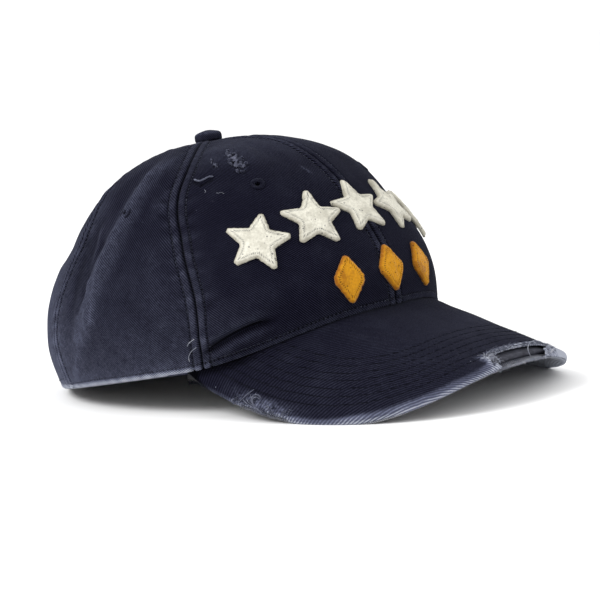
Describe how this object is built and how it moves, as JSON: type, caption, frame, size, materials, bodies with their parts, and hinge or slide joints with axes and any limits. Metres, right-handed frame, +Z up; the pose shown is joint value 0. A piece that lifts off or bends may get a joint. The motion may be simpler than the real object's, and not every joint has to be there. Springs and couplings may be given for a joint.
{
  "type": "baseball cap",
  "caption": "Soft cloth cap with a paneled domed crown, a covered button, felt patches and a stiff curved visor with worn, torn edges.",
  "frame": {"origin": "middle of the cap's box at the surface it stands on", "axes": "+Z up, -Y towards the visor, the wearer's right towards -X; the cap stands on its back hem and the visor's two sides"},
  "size_m": [0.1885, 0.2804, 0.1281],
  "materials": {
    "washed_twill": "washed dark blue cotton twill, greyed along seams, folds and edges",
    "visor_lining": "washed blue-grey cotton twill",
    "board": "dull dark grey stiffener",
    "band_twill": "plain dark blue cotton band",
    "eyelet_thread": "dark blue satin-stitched thread",
    "white_felt": "off-white felt, slightly soiled",
    "gold_felt": "golden yellow felt"
  },
  "bodies": {
    "root": {"crown_front_right": "washed_twill", "crown_front_left": "washed_twill", "crown_side_right": "washed_twill", "crown_side_left": "washed_twill", "crown_back_right": "washed_twill", "crown_back_left": "washed_twill", "crown_button": "washed_twill", "eyelet_front_right": "eyelet_thread", "eyelet_front_left": "eyelet_thread", "eyelet_side_right": "eyelet_thread", "eyelet_side_left": "eyelet_thread", "eyelet_back_right": "eyelet_thread", "eyelet_back_left": "eyelet_thread", "visor_top_cover": "washed_twill", "visor_under_cover": "visor_lining", "visor_board": "board", "sweatband": "band_twill", "felt_star_1": "white_felt", "felt_star_2": "white_felt", "felt_star_3": "white_felt", "felt_star_4": "white_felt", "felt_star_5": "white_felt", "felt_diamond_1": "gold_felt", "felt_diamond_2": "gold_felt", "felt_diamond_3": "gold_felt"}
  },
  "joints": []
}
